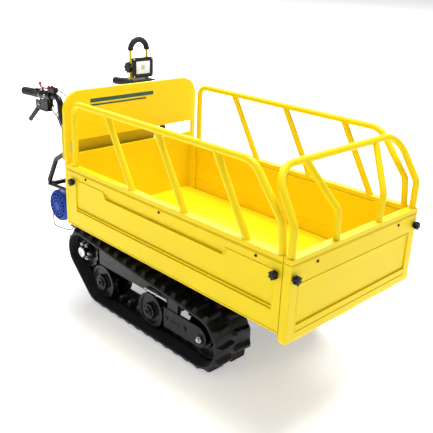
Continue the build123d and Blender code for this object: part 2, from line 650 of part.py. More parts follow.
# Tilt cylinder: barrel on the chassis bracket, rod up to the tub's clevis.
cyl_dx, cyl_dz = CYL_EYE[0] - CYL_BASE[0], CYL_EYE[1] - CYL_BASE[1]
CYL_LENGTH = math.hypot(cyl_dx, cyl_dz)
cyl_plane = Plane(
    origin=(CYL_BASE[0], 0, CYL_BASE[1]), x_dir=(0, 1, 0), z_dir=(cyl_dx, 0, cyl_dz)
)
BARREL_END = CYL_LENGTH - 42
with BuildPart() as barrel:
    barrel_y(*CYL_BASE, (-24, 24), 17)
    with BuildSketch(cyl_plane.offset(8)):
        Circle(24)
    extrude(amount=BARREL_END - 8)
    with BuildSketch(cyl_plane.offset(BARREL_END - 22)):
        Circle(27)
    extrude(amount=22)
    with BuildSketch(cyl_plane.offset(26)):
        Circle(12 + PIN_FIT)
    extrude(amount=BARREL_END, mode=Mode.SUBTRACT)
    barrel_y(*CYL_BASE, (-25, 25), 8 + PIN_FIT, Mode.SUBTRACT)
save(barrel.part, "cylinder_barrel")
with BuildPart() as rod:
    with BuildSketch(cyl_plane.offset(28)):
        Circle(12)
    extrude(amount=CYL_LENGTH - 41)
    barrel_y(*CYL_EYE, (-11.4, 11.4), 14)
save(rod.part, "cylinder_rod")

# Handlebar: two bent tubes rising from the deck, joined by a crossbar.
BAR_FOOT_X = -700.0
bar_dx, bar_dz = BAR_ELBOW[0] - BAR_END[0], BAR_ELBOW[1] - BAR_END[1]
BAR_RUN = math.hypot(bar_dx, bar_dz)


def bar_point(t):
    return BAR_END[0] + bar_dx * t / BAR_RUN, BAR_END[1] + bar_dz * t / BAR_RUN


def bar_plane(s, t):
    x, z = bar_point(t)
    return Plane(origin=(x, s * BAR_Y, z), x_dir=(0, 1, 0), z_dir=(bar_dx, 0, bar_dz))


def collar(s, t, r, length, inner=BAR_R):
    with BuildSketch(bar_plane(s, t)) as ring:
        Circle(r)
        if inner:
            Circle(inner, mode=Mode.SUBTRACT)
    extrude(ring.sketch, amount=length)


with BuildPart() as handlebar:
    for s in SIDES.values():
        y = s * BAR_Y
        tube([
            (BAR_END[0], y, BAR_END[1]),
            (BAR_ELBOW[0], y, BAR_ELBOW[1]),
            (BAR_ELBOW[0] + 1, y, 775),
            (BAR_FOOT_X, y, 640),
            (BAR_FOOT_X, y, DECK_TOP + 6),
        ], 34, BAR_R)
        tube([
            (BAR_END[0], y, BAR_END[1]),
            (BAR_ELBOW[0], y, BAR_ELBOW[1]),
            (BAR_ELBOW[0] + 1, y, 775),
            (BAR_FOOT_X, y, 640),
            (BAR_FOOT_X, y, DECK_TOP + 6),
        ], 34, BAR_R - 2, Mode.SUBTRACT)
        block((BAR_FOOT_X - 14, BAR_FOOT_X + 16), both(s, BAR_Y - 15, BAR_Y + 15),
              (DECK_TOP, DECK_TOP + 6))
        block((-735, -706), both(s, BAR_Y - 7, BAR_Y + 7), (458, 464))
    barrel_y(BAR_ELBOW[0], 800, (-BAR_Y + BAR_R - 2, BAR_Y - BAR_R + 2), 11)
    # Lamp bracket welded over the left bar.
    for t in (218, 266):
        collar(1, t, 20, 14, BAR_R - 1)
        x, z = bar_point(t + 7)
        block((x - 7, x + 7), (BAR_Y - 12, BAR_Y + 12), (z + 17, 882))
    block((-920, -812), (LAMP_Y - LAMP_HALF - 12, BAR_Y + 28), (876, 882))
save(handlebar.part, "handlebar")

LEVER_AT = (-956.0, 800.0)
LEVER_TIP = (-1064.0, 709.0)
for side, s in SIDES.items():
    y = s * BAR_Y
    with BuildPart() as grip:
        collar(s, 0, 18, GRIP_LENGTH)
        collar(s, -4, 19.5, 4, 0)
        collar(s, 0, 19.5, 6)
        collar(s, GRIP_LENGTH - 6, 21, 6)
    save(grip.part, "grip_" + side)

    with BuildPart() as pod:
        collar(s, 109, 15.5, 90)
        collar(s, 110, 20, 34)
        with BuildSketch(bar_plane(s, 113)):
            with Locations((0, 4)):
                RectangleRounded(38, 38, 8)
            Circle(BAR_R, mode=Mode.SUBTRACT)
        extrude(amount=28)
        collar(s, 144, 17, 8)
        collar(s, 152, 19, 47)
    save(pod.part, "control_pod_" + side)

    # Lever bracket clamped under the bar, its fork open to the rear.
    with BuildPart() as bracket:
        collar(s, 201, 21, 14)
        for c in (-1, 1):
            block((-984, -900), (y + c * 10 - 2.5, y + c * 10 + 2.5), (781, 818))
        block((-938, -893), (y - 12.5, y + 12.5), (781, 824))
        block((-896, -883), (y - 12.5, y + 12.5), (781, 832))
        block((-905, -893), (y - 12.5, y + 12.5), (781, 824))
        block((-950, -893), (y - 15, y + 15), (775, 781))
        barrel_y(*LEVER_AT, (y - 12.5, y + 12.5), 4)
    save(bracket.part, "lever_bracket_" + side)

    ldx, ldz = LEVER_TIP[0] - LEVER_AT[0], LEVER_TIP[1] - LEVER_AT[1]
    lever_length = math.hypot(ldx, ldz)
    lever_plane = Plane(
        origin=(LEVER_AT[0], y, LEVER_AT[1]), x_dir=(0, 1, 0), z_dir=(ldx, 0, ldz)
    )
    with BuildPart() as lever:
        barrel_y(*LEVER_AT, (y - 7, y + 7), 11)
        with BuildSketch(lever_plane):
            Rectangle(14, 14)
        extrude(amount=50)
        with BuildSketch(lever_plane.offset(44)):
            SlotOverall(22, 17, rotation=90)
        extrude(amount=lever_length - 44)
        barrel_y(*LEVER_AT, (y - 8, y + 8), 4 + PIN_FIT, Mode.SUBTRACT)
    save(lever.part, "hand_lever_" + side)

# Throttle block and hooked red lever on the right bar, with a small trigger below.
RED_AT = (-872.0, 884.0)
TRIGGER_AT = (-873.0, 823.0)
yr = -BAR_Y
with BuildPart() as hub:
    collar(-1, 219, 20, 16)
    for c in (-1, 1):
        block((-880, -864), (yr + c * 8.5 - 2.5, yr + c * 8.5 + 2.5), (865, 886))
        barrel_y(*RED_AT, (yr + c * 8.5 - 2.5, yr + c * 8.5 + 2.5), 9)
    block((-862, -828), (yr - 11, yr + 11), (866, 882))
    block((-880, -862), (yr - 11, yr + 11), (866, 871))
    barrel_x((-842, -818), yr, 886, 6)
    barrel_y(*RED_AT, (yr - 11, yr + 11), 3)
    for c in (-1, 1):
        block((-879, -868), (yr + c * 6.5 - 1.5, yr + c * 6.5 + 1.5), (817, 834.2))
    barrel_y(*TRIGGER_AT, (yr - 8, yr + 8), 2)
save(hub.part, "throttle_hub")

with BuildPart() as red:
    barrel_y(*RED_AT, (yr - 5.5, yr + 5.5), 7)
    with BuildLine() as hook:
        FilletPolyline(
            (RED_AT[0] - 3, yr, RED_AT[1] - 1),
            (-897, yr, 874),
            (-950, yr, 876),
            (-961, yr, 889),
            (-952, yr, 898),
            radius=5,
        )
    with BuildSketch(Plane(origin=hook.wire() @ 0, x_dir=(0, 1, 0), z_dir=hook.wire() % 0)):
        Rectangle(11, 5)
    sweep(path=hook.wire())
    barrel_y(*RED_AT, (yr - 6, yr + 6), 3 + PIN_FIT, Mode.SUBTRACT)
save(red.part, "red_lever")

with BuildPart() as trigger:
    barrel_y(*TRIGGER_AT, (yr - 4.5, yr + 4.5), 5)
    tube([
        (TRIGGER_AT[0] + 2, yr, TRIGGER_AT[1] - 1),
        (-862, yr, 816),
        (-850, yr, 802),
    ], 8, 3.4)
    barrel_y(*TRIGGER_AT, (yr - 6, yr + 6), 2 + PIN_FIT, Mode.SUBTRACT)
save(trigger.part, "trigger")

# Rear guard: a bent tube round the motor, from post to post, with forward braces.
GUARD_Y = 284.0
GUARD_R = 11.0
with BuildPart() as guard:
    path = []
    for s in (-1, 1):
        leg = [
            (-718, s * GUARD_Y, 632),
            (-802, s * GUARD_Y, 584),
            (-882, s * GUARD_Y, 446),
        ]
        path += leg if s < 0 else leg[::-1]
    tube(path, 38, GUARD_R)
    for s in SIDES.values():
        tube([(-872, s * GUARD_Y, 452), (-726, s * GUARD_Y, 462)], 0, 8)
        block((-738, -686), both(s, BAR_Y + BAR_R, GUARD_Y + 6), (456, 468))
        block((-732, -694), both(s, BAR_Y + BAR_R, GUARD_Y + 6), (622, 640))
save(guard.part, "rear_guard")

# Work lamp: yellow hoop, foam handle, tilting head.
with BuildPart() as stand:
    for c in (-1, 1):
        y = LAMP_Y + c * LAMP_HALF
        with Locations((LAMP_AXIS[0], y, (882 + HOOP_Z) / 2)):
            Cylinder(7, HOOP_Z - 882)
        with Locations((LAMP_AXIS[0], y, 884)):
            Cylinder(11, 4)
        barrel_y(*LAMP_AXIS, (y - 8, y + 8), 10)
        barrel_y(*LAMP_AXIS, (y - 9, y + 9), 5 + PIN_FIT, Mode.SUBTRACT)
    with BuildSketch(Plane.XY.offset(HOOP_Z)):
        with Locations((LAMP_AXIS[0], LAMP_Y + LAMP_HALF)):
            Circle(7)
    revolve(axis=Axis((LAMP_AXIS[0], LAMP_Y, HOOP_Z), (-1, 0, 0)), revolution_arc=-180)
save(stand.part, "lamp_stand")

with BuildPart() as foam:
    with BuildSketch(Plane.XY.offset(HOOP_Z)):
        with Locations((LAMP_AXIS[0], LAMP_Y + LAMP_HALF)):
            Circle(14)
            Circle(7, mode=Mode.SUBTRACT)
    revolve(axis=Axis((LAMP_AXIS[0], LAMP_Y, HOOP_Z), (-1, 0, 0)), revolution_arc=-180)
save(foam.part, "lamp_handle")

with BuildPart() as head:
    hx = LAMP_AXIS[0] + 14
    block((hx + 12, hx + 22), (LAMP_Y - 60, LAMP_Y + 60), (LAMP_AXIS[1] - 47, LAMP_AXIS[1] + 47))
    fillet(head.edges().filter_by(Axis.X), 5)
    block((hx + 20, hx + 23), (LAMP_Y - 40, LAMP_Y + 40), (LAMP_AXIS[1] - 29, LAMP_AXIS[1] + 29),
          Mode.SUBTRACT)
    block((hx, hx + 12), (LAMP_Y - 39, LAMP_Y + 39), (LAMP_AXIS[1] - 39, LAMP_AXIS[1] + 39))
    block((hx - 26, hx), (LAMP_Y - 34, LAMP_Y + 34), (LAMP_AXIS[1] - 22, LAMP_AXIS[1] + 22))
    barrel_y(*LAMP_AXIS, (LAMP_Y - LAMP_HALF - 15, LAMP_Y + LAMP_HALF + 15), 5)
save(head.part, "lamp_head")

with BuildPart() as lens:
    block((hx + 20, hx + 21.5), (LAMP_Y - 40, LAMP_Y + 40),
          (LAMP_AXIS[1] - 29, LAMP_AXIS[1] + 29))
save(lens.part, "lamp_lens")

knob_y = LAMP_Y - LAMP_HALF - 8.6
with BuildPart() as knob:
    barrel_y(*LAMP_AXIS, (knob_y - 12, knob_y), 21)
    with Locations(*[
        Location((LAMP_AXIS[0] + 21 * math.cos(math.radians(45 * i)), knob_y - 6,
                  LAMP_AXIS[1] + 21 * math.sin(math.radians(45 * i))), (90, 0, 0))
        for i in range(8)
    ]):
        Cylinder(5, 12)
    barrel_y(*LAMP_AXIS, (knob_y - 7, knob_y + 1), 5 + PIN_FIT, Mode.SUBTRACT)
save(knob.part, "lamp_knob")


# Cables, each held along its whole run.
def cable(name, points, r, bend):
    with BuildPart() as lead:
        with BuildLine() as run:
            FilletPolyline(*points, radius=bend)
        wire = run.wire()
        with BuildSketch(Plane(origin=wire @ 0, z_dir=wire % 0)):
            Circle(r)
        sweep(path=wire)
    save(lead.part, name)
    print(name, "length", round(wire.length), "bend radius", bend)


for side, s in SIDES.items():
    y = s * BAR_Y
    cable("steering_cable_" + side, [
        (-880, y, 792), (-826, y, 764), (-724, y, 610), (-724, y, 465),
    ], 3, 50)
cable("throttle_cable", [
    (-816, yr, 886), (-764, yr + 26, 852), (-752, yr + 26, 760), (-700, yr + 40, 700),
], 2.5, 30)
cable("motor_cable", [
    (-852, -284, 329), (-852, -284, 254), (-780, -246, 242), (-728, -240, 280),
], 2.5, 25)
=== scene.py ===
import json
import math

import bmesh
import bpy
import numpy as np
from mathutils import Matrix, Vector


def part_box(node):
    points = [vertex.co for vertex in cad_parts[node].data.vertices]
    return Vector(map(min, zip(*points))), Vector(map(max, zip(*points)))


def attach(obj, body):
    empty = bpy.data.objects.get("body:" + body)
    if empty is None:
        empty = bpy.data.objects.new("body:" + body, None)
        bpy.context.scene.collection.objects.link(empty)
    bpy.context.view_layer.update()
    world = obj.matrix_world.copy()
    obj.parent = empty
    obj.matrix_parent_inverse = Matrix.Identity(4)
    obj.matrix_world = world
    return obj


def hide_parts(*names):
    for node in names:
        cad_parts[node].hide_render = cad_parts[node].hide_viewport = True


# Looks of the power wheelbarrow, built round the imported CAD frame. Metres, row frame.
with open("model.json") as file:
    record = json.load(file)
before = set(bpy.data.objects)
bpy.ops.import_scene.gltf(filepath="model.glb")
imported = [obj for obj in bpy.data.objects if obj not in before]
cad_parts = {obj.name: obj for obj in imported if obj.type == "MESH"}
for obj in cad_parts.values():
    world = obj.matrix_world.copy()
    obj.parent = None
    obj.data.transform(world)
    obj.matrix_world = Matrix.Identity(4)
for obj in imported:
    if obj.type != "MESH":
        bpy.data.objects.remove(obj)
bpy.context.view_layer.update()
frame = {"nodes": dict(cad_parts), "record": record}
scene = bpy.context.scene


def middle(node):
    low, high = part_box(node)
    return (low + high) / 2


# Working frame for details: millimetres, X = 0 at the middle of the tub.
TUB_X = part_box("front_panel")[1].x - 0.600


def V(x, y, z):
    return Vector((TUB_X + x / 1000, y / 1000, z / 1000))


SIDES = {"right": -1, "left": 1}


# ---------------------------------------------------------------- materials
def tone(colour, factor):
    return (*[min(1.0, c * factor) for c in colour], 1.0)


def material(name, colour, rough=0.4, metal=0.0, coat=0.0, coat_rough=0.1, vary=0.06, vary_scale=9.0,
             grain=0.02, grain_scale=900.0, rough_vary=0.08, dust=0.0, dust_colour=(0.33, 0.30, 0.26),
             scratch=0.0, wave=None, wave_depth=0.2, alpha=1.0, glass=0.0, sheen=0.0, emit=None,
             specular=0.5):
    m = bpy.data.materials.new(name)
    m.use_nodes = True
    nt = m.node_tree
    bsdf = nt.nodes["Principled BSDF"]
    bsdf.inputs["Metallic"].default_value = metal
    bsdf.inputs["Specular IOR Level"].default_value = specular
    bsdf.inputs["Coat Weight"].default_value = coat
    bsdf.inputs["Coat Roughness"].default_value = coat_rough
    bsdf.inputs["Sheen Weight"].default_value = sheen
    bsdf.inputs["Transmission Weight"].default_value = glass
    bsdf.inputs["Alpha"].default_value = alpha
    if emit:
        bsdf.inputs["Emission Color"].default_value = (*emit[:3], 1)
        bsdf.inputs["Emission Strength"].default_value = emit[3]

    def node(kind, **values):
        n = nt.nodes.new(kind)
        for key, value in values.items():
            if key in n.inputs:
                n.inputs[key].default_value = value
            else:
                setattr(n, key, value)
        return n

    def noise(scale, detail=3.0, stretch=None):
        n = node("ShaderNodeTexNoise", Scale=scale, Detail=detail)
        if stretch:
            mapping = node("ShaderNodeMapping", Scale=stretch)
            nt.links.new(coords.outputs["Object"], mapping.inputs["Vector"])
            nt.links.new(mapping.outputs["Vector"], n.inputs["Vector"])
        else:
            nt.links.new(coords.outputs["Object"], n.inputs["Vector"])
        return n

    def ramp(source, low, high, a, b):
        r = nt.nodes.new("ShaderNodeMapRange")
        r.inputs["From Min"].default_value, r.inputs["From Max"].default_value = low, high
        r.inputs["To Min"].default_value, r.inputs["To Max"].default_value = a, b
        nt.links.new(source, r.inputs["Value"])
        return r.outputs["Result"]

    def mix(factor, a, b):
        n = node("ShaderNodeMix", data_type="RGBA")
        nt.links.new(factor, n.inputs["Factor"])
        for socket, value in (("A", a), ("B", b)):
            slot = [s for s in n.inputs if s.name == socket and s.type == "RGBA"][0]
            if isinstance(value, tuple):
                slot.default_value = value
            else:
                nt.links.new(value, slot)
        return [s for s in n.outputs if s.type == "RGBA"][0]

    coords = node("ShaderNodeTexCoord")
    broad = noise(vary_scale, 4.0)
    base = mix(ramp(broad.outputs["Fac"], 0.3, 0.7, 0, 1), tone(colour, 1 - vary), tone(colour, 1 + vary))
    if scratch:
        worn = noise(210.0, 6.0, (1, 1, 6))
        base = mix(ramp(worn.outputs["Fac"], 0.66, 0.72, 0, scratch), base, tone(colour, 2.6))
    if dust:
        settled = noise(34.0, 6.0)
        base = mix(ramp(settled.outputs["Fac"], 0.42, 0.75, 0, dust), base, (*dust_colour, 1))
    nt.links.new(base, bsdf.inputs["Base Color"])
    fine = noise(grain_scale, 2.0)
    patch = noise(vary_scale * 4, 5.0)
    nt.links.new(
        ramp(patch.outputs["Fac"], 0.3, 0.7, max(0.02, rough - rough_vary), min(1, rough + rough_vary)),
        bsdf.inputs["Roughness"],
    )
    bump = node("ShaderNodeBump", Strength=grain, Distance=0.001)
    nt.links.new(fine.outputs["Fac"], bump.inputs["Height"])
    if wave:
        bands = node("ShaderNodeTexWave", Scale=wave[1], bands_direction=wave[0])
        nt.links.new(coords.outputs["Object"], bands.inputs["Vector"])
        second = node("ShaderNodeBump", Strength=wave_depth, Distance=0.001)
        nt.links.new(bands.outputs["Fac"], second.inputs["Height"])
        nt.links.new(bump.outputs["Normal"], second.inputs["Normal"])
        bump = second
    nt.links.new(bump.outputs["Normal"], bsdf.inputs["Normal"])
    return m


YELLOW = (0.90, 0.68, 0.008)
M = {
    "yellow": material("yellow_powder_coat", YELLOW, 0.42, coat=0.02, coat_rough=0.2, vary=0.025,
                       vary_scale=4, grain=0.05, grain_scale=420, rough_vary=0.06, specular=0.15),
    # Darker yellow for the hood: painted shade for the hood lying in shadow behind the rear-wall slot; the
    # real hood has the same yellow paint as the tub.
    "hood_painted_shade": material("yellow_coat_painted_shade", (0.60, 0.46, 0.012), 0.48, coat=0.05, vary=0.04,
                        vary_scale=5, grain=0.06, grain_scale=420, specular=0.25),
    "black": material("black_powder_coat", (0.0050, 0.0050, 0.0056), 0.30, vary=0.2, specular=0.30,
                      grain=0.10, grain_scale=700, scratch=0.15, dust=0.01),
    "wheel": material("black_casting", (0.0045, 0.0045, 0.0050), 0.24, vary=0.25, specular=0.34,
                      grain=0.12, grain_scale=450, scratch=0.15, dust=0.01),
    "plate": material("grey_steel_plate", (0.020, 0.018, 0.024), 0.55, vary=0.12, grain=0.08,
                      grain_scale=500, dust=0.02, scratch=0.08, specular=0.25),
    "rubber": material("track_rubber", (0.0085, 0.0092, 0.0125), 0.46, vary=0.25, vary_scale=30,
                       grain=0.30, grain_scale=260, rough_vary=0.12, dust=0.06, specular=0.30,
                       dust_colour=(0.06, 0.065, 0.085)),
    "rubber_tip": material("scuffed_rubber", (0.060, 0.062, 0.075), 0.42, vary=0.3, vary_scale=60,
                           grain=0.35, grain_scale=320, rough_vary=0.12, dust=0.15,
                           dust_colour=(0.20, 0.20, 0.22)),
    "chrome": material("zinc_plate", (0.72, 0.72, 0.74), 0.22, metal=1.0, vary=0.08, vary_scale=40,
                       grain=0.05, grain_scale=800),
    "steel": material("turned_steel", (0.60, 0.60, 0.62), 0.30, metal=1.0, vary=0.12, vary_scale=60,
                      grain=0.06, grain_scale=1000, scratch=0.1),
    "cast": material("dark_casting", (0.020, 0.020, 0.023), 0.58, vary=0.2, grain=0.45,
                     grain_scale=240, dust=0.12),
    "blue": material("blue_motor_paint", (0.010, 0.060, 0.40), 0.40, coat=0.0, vary=0.12, specular=0.15,
                     vary_scale=14, grain=0.10, grain_scale=500),
    "plastic": material("black_moulded_plastic", (0.0060, 0.0060, 0.0066), 0.42, vary=0.15, vary_scale=30,
                        grain=0.16, grain_scale=900, rough_vary=0.06, specular=0.25),
    "grip": material("soft_grip_rubber", (0.0075, 0.0080, 0.0100), 0.50, vary=0.2, vary_scale=60,
                     grain=0.25, grain_scale=700, sheen=0.05, specular=0.28),
    "foam": material("foam_sleeve", (0.012, 0.014, 0.020), 0.70, vary=0.25, vary_scale=120,
                     grain=0.60, grain_scale=480, sheen=0.10, specular=0.25),
    "cable": material("cable_sheath", (0.010, 0.010, 0.011), 0.42, vary=0.15, vary_scale=60,
                      grain=0.08, grain_scale=900),
    "red": material("red_lever_paint", (0.46, 0.012, 0.030), 0.28, coat=0.3, vary=0.12,
                    vary_scale=60, grain=0.05, grain_scale=700),
    "teal": material("teal_switch_plastic", (0.02, 0.20, 0.16), 0.35, vary=0.1, vary_scale=90,
                     grain=0.06, grain_scale=900),
    "lamp": material("lamp_housing", (0.0065, 0.0080, 0.0120), 0.38, vary=0.15, vary_scale=40,
                     grain=0.18, grain_scale=600, specular=0.28),
    "mirror": material("lamp_reflector", (0.84, 0.86, 0.86), 0.16, metal=1.0, vary=0.06,
                       vary_scale=90, grain=0.12, grain_scale=300),
    "led": material("led_phosphor", (0.90, 0.80, 0.30), 0.35, vary=0.1, vary_scale=400, grain=0.05,
                    emit=(1.0, 0.95, 0.75, 0.25)),
    "glass": material("lamp_glass", (0.93, 0.96, 0.96), 0.05, vary=0.02, grain=0.01, rough_vary=0.02,
                      glass=0.95, alpha=0.30),
    "green": material("dark_green_film", (0.006, 0.075, 0.055), 0.30, vary=0.12, vary_scale=40,
                      grain=0.05, grain_scale=600),
    # Near-black sheet colour: painted shade for openings, here the fork-plate slot.
    "dark": material("unlit_recess", (0.004, 0.004, 0.004), 0.8, vary=0.1, grain=0.1),
}


# ---------------------------------------------------------------- mesh helpers
class Mesh:
    """Collects vertices and faces for one piece."""

    def __init__(self):
        self.verts, self.faces, self.mats = [], [], []
        self.current = 0

    def add(self, verts, faces, at=None):
        start = len(self.verts)
        for v in verts:
            self.verts.append(tuple(at @ Vector(v)) if at is not None else tuple(v))
        for f in faces:
            self.faces.append([i + start for i in f])
            self.mats.append(self.current)
        return self

    def lathe(self, profile, at, segments=40, closed=False):
        """Turns (radius, height) points round the local Z axis of matrix at."""
        verts, faces = [], []
        for r, h in profile:
            for i in range(segments):
                a = 2 * math.pi * i / segments
                verts.append((r * math.cos(a), r * math.sin(a), h))
        rows = len(profile)
        pairs = [(j, j + 1) for j in range(rows - 1)] + ([(rows - 1, 0)] if closed else [])
        for j, k in pairs:
            for i in range(segments):
                n = (i + 1) % segments
                faces.append((j * segments + i, j * segments + n, k * segments + n, k * segments + i))
        if not closed:
            for j, flip in ((0, True), (rows - 1, False)):
                if profile[j][0] > 1e-6:
                    ring = [j * segments + i for i in range(segments)]
                    faces.append(ring[::-1] if flip else ring)
        return self.add(verts, faces, at)

    def prism(self, outline, low, high, at, taper=1.0):
        """Extrudes a closed (x, y) outline between two heights, the top scaled by taper."""
        n = len(outline)
        cx = sum(p[0] for p in outline) / n
        cy = sum(p[1] for p in outline) / n
        verts = [(x, y, low) for x, y in outline]
        verts += [(cx + (x - cx) * taper, cy + (y - cy) * taper, high) for x, y in outline]
        faces = [list(range(n))[::-1], list(range(n, 2 * n))]
        faces += [(i, (i + 1) % n, n + (i + 1) % n, n + i) for i in range(n)]
        return self.add(verts, faces, at)

    def tube(self, points, r, sides=12, cap=True):
        """A round tube along a polyline."""
        pts = [Vector(p) for p in points]
        verts, faces = [], []
        up = None
        for i, p in enumerate(pts):
            d = (pts[min(i + 1, len(pts) - 1)] - pts[max(i - 1, 0)]).normalized()
            if up is None:
                up = d.orthogonal().normalized()
            up = (up - d * up.dot(d)).normalized()
            w = d.cross(up)
            rr = r[i] if isinstance(r, (list, tuple)) else r
            for k in range(sides):
                a = 2 * math.pi * k / sides
                verts.append(p + (up * math.cos(a) + w * math.sin(a)) * rr)
        for i in range(len(pts) - 1):
            for k in range(sides):
                n = (k + 1) % sides
                faces.append((i * sides + k, i * sides + n, (i + 1) * sides + n, (i + 1) * sides + k))
        if cap:
            last = (len(pts) - 1) * sides
            faces.append([k for k in range(sides)][::-1])
            faces.append([last + k for k in range(sides)])
        return self.add(verts, faces)


def finish_mesh(ob, bevel=0.0, segments=2, angle=32, subdivide=0):
    """Bevels the hard edges, evens the shading and keeps the result as the piece's mesh."""
    if subdivide:
        sub = ob.modifiers.new("sub", "SUBSURF")
        sub.levels = sub.render_levels = subdivide
    if bevel:
        b = ob.modifiers.new("bevel", "BEVEL")
        b.width, b.segments, b.limit_method = bevel, segments, "ANGLE"
        b.angle_limit = math.radians(angle)
        b.use_clamp_overlap = True
        b.harden_normals = True
        b.miter_outer = "MITER_ARC"
    for p in ob.data.polygons:
        p.use_smooth = True
    if bevel or subdivide:
        w = ob.modifiers.new("normals", "WEIGHTED_NORMAL")
        w.keep_sharp = True
        bpy.context.view_layer.update()
        graph = bpy.context.evaluated_depsgraph_get()
        made = bpy.data.meshes.new_from_object(ob.evaluated_get(graph))
        made.name = ob.name
        ob.modifiers.clear()
        ob.data = made
    else:
        ob.data.set_sharp_from_angle(angle=math.radians(angle))
    return ob


def piece(name, mesh, mats, body, bevel=0.0, replaces=(), segments=2, angle=32, subdivide=0, weld=True):
    me = bpy.data.meshes.new(name)
    me.from_pydata([tuple(v) for v in mesh.verts], [], mesh.faces)
    mats = [mats] if isinstance(mats, str) else mats
    for key in mats:
        me.materials.append(M[key])
    me.polygons.foreach_set("material_index", mesh.mats)
    bm = bmesh.new()
    bm.from_mesh(me)
    if weld:
        bmesh.ops.remove_doubles(bm, verts=bm.verts, dist=1e-6)
    bmesh.ops.recalc_face_normals(bm, faces=bm.faces)
    bm.to_mesh(me)
    bm.free()
    ob = bpy.data.objects.new(name, me)
    scene.collection.objects.link(ob)
    finish_mesh(ob, bevel, segments, angle, subdivide)
    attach(ob, body)
    if replaces:
        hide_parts(*replaces)
    return ob


BODY_OF = {n: b for b, ns in frame["record"]["behaviour"]["bodies"].items() for n in ns}


def dress(node, key, width=0.001, segments=2, angle=34):
    """Gives a CAD node its material; with a width, a copy with softened edges stands for it."""
    source = frame["nodes"][node]
    if not width:
        source.data.materials.clear()
        source.data.materials.append(M[key])
        source.data.set_sharp_from_angle(angle=math.radians(angle))
        return source
    me = source.data.copy()
    bm = bmesh.new()
    bm.from_mesh(me)
    bmesh.ops.remove_doubles(bm, verts=bm.verts, dist=2e-6)
    bmesh.ops.dissolve_limit(bm, angle_limit=math.radians(0.6), verts=bm.verts, edges=bm.edges,
                             use_dissolve_boundaries=False)
    for f in bm.faces:
        f.material_index = 0
        f.smooth = True
    for e in bm.edges:
        e.smooth = True
    bm.to_mesh(me)
    bm.free()
    me.materials.clear()
    me.materials.append(M[key])
    ob = bpy.data.objects.new("skin_" + node, me)
    scene.collection.objects.link(ob)
    finish_mesh(ob, width, segments, angle)
    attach(ob, BODY_OF[node])
    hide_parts(node)
    return ob


def axis_at(point, direction, x_hint=None):
    """A matrix at point whose Z runs along direction."""
    z = Vector(direction).normalized()
    x = Vector(x_hint) if x_hint else z.orthogonal()
    x = (x - z * x.dot(z)).normalized()
    y = z.cross(x)
    m = Matrix.Identity(4)
    for i, column in enumerate((x, y, z, Vector(point))):
        for j in range(3):
            m[j][i] = column[j]
    return m


def polygon(r, n, turn=0.0):
    return [(r * math.cos(turn + 2 * math.pi * i / n), r * math.sin(turn + 2 * math.pi * i / n))
            for i in range(n)]


def socket_screw(mesh, at, r, h):
    """A domed screw head with a round socket recess."""
    mesh.lathe([(r, 0), (r, h * 0.55), (r * 0.86, h * 0.9), (r * 0.55, h), (r * 0.5, h * 0.35),
                (0.0, h * 0.3)], at, 18)


def hex_bolt(mesh, at, across, h, washer=1.5):
    """A hexagon bolt head on a round washer."""
    mesh.lathe([(across * 0.78, 0), (across * 0.78, washer / 1000), (0.0, washer / 1000)], at, 24)
    mesh.prism(polygon(across / math.sqrt(3), 6), washer / 1000, washer / 1000 + h * 0.85, at)
    mesh.lathe([(across * 0.47, washer / 1000 + h * 0.85), (across * 0.40, washer / 1000 + h),
                (0.0, washer / 1000 + h)], at, 18)


# ---------------------------------------------------------------- CAD nodes that keep their shape
for key, width, nodes in (
    ("yellow", 0.0016, "tub_floor rear_wall side_panel_right side_panel_left front_panel"),
    # The hood takes the darker yellow, which is painted shade, not a different paint.
    ("hood_painted_shade", 0.0016, "hood"),
    ("yellow", 0.0008, "side_railing_right side_railing_left front_railing lamp_stand"),
    ("black", 0.0014, "main_frame track_frame_right track_frame_left lever_bracket_right lever_bracket_left"),
    ("black", 0.0008, "handlebar rear_guard throttle_hub trigger"),
    ("wheel", 0.0022, "rear_roller_right rear_roller_left front_roller_right front_roller_left"),
    ("wheel", 0.0022, "idler_right idler_left sprocket_right sprocket_left"),
    ("chrome", 0.0007, "tensioner_right tensioner_left cylinder_rod"),
    ("cast", 0.0020, "transaxle cylinder_barrel"),
    ("blue", 0.0006, "drive_motor"),
    ("black", 0.0020, "reduction_case"),
    ("plastic", 0.0010, "battery_box rear_knob_right rear_knob_left front_knob_right front_knob_left"),
    ("plastic", 0.0008, "panel_knob_right panel_knob_left lamp_knob motor_fan "
                        "control_pod_right control_pod_left"),
    ("grip", 0.0012, "hand_lever_right hand_lever_left"),
    ("cable", 0.0, "steering_cable_right steering_cable_left throttle_cable motor_cable"),
    ("red", 0.0008, "red_lever"),
    ("lamp", 0.0012, "lamp_head"),
):
    for name in nodes.split():
        dress(name, key, width)

# ---------------------------------------------------------------- rubber tracks

def loop_points(offset, samples=1440):
    """Points at even spacing along the taut belt round sprocket, rear roller and idler."""
    rounds = []
    for node, gap in (("sprocket_right", None), ("rear_roller_right", 0.0005), ("idler_right", 0.0005)):
        low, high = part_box(node)
        r = 0.079 if gap is None else (high.z - low.z) / 2 + gap
        rounds.append(((low.x + high.x) / 2, (low.z + high.z) / 2, r))
    cloud = []
    for cx, cz, r in rounds:
        for i in range(720):
            a = math.pi * i / 360
            cloud.append((cx + (r + offset) * math.cos(a), cz + (r + offset) * math.sin(a)))
    cloud = sorted(set((round(x, 7), round(z, 7)) for x, z in cloud))

    def half(points):
        out = []
        for p in points:
            while len(out) > 1 and ((out[-1][0] - out[-2][0]) * (p[1] - out[-2][1])
                                    - (out[-1][1] - out[-2][1]) * (p[0] - out[-2][0])) <= 0:
                out.pop()
            out.append(p)
        return out[:-1]

    hull = np.array(half(cloud) + half(cloud[::-1]))
    closed = np.vstack([hull, hull[:1]])
    steps = np.hypot(*np.diff(closed, axis=0).T)
    along = np.concatenate([[0], np.cumsum(steps)])
    at = np.linspace(0, along[-1], samples, endpoint=False)
    return np.stack([np.interp(at, along, closed[:, 0]), np.interp(at, along, closed[:, 1])], 1), along[-1]


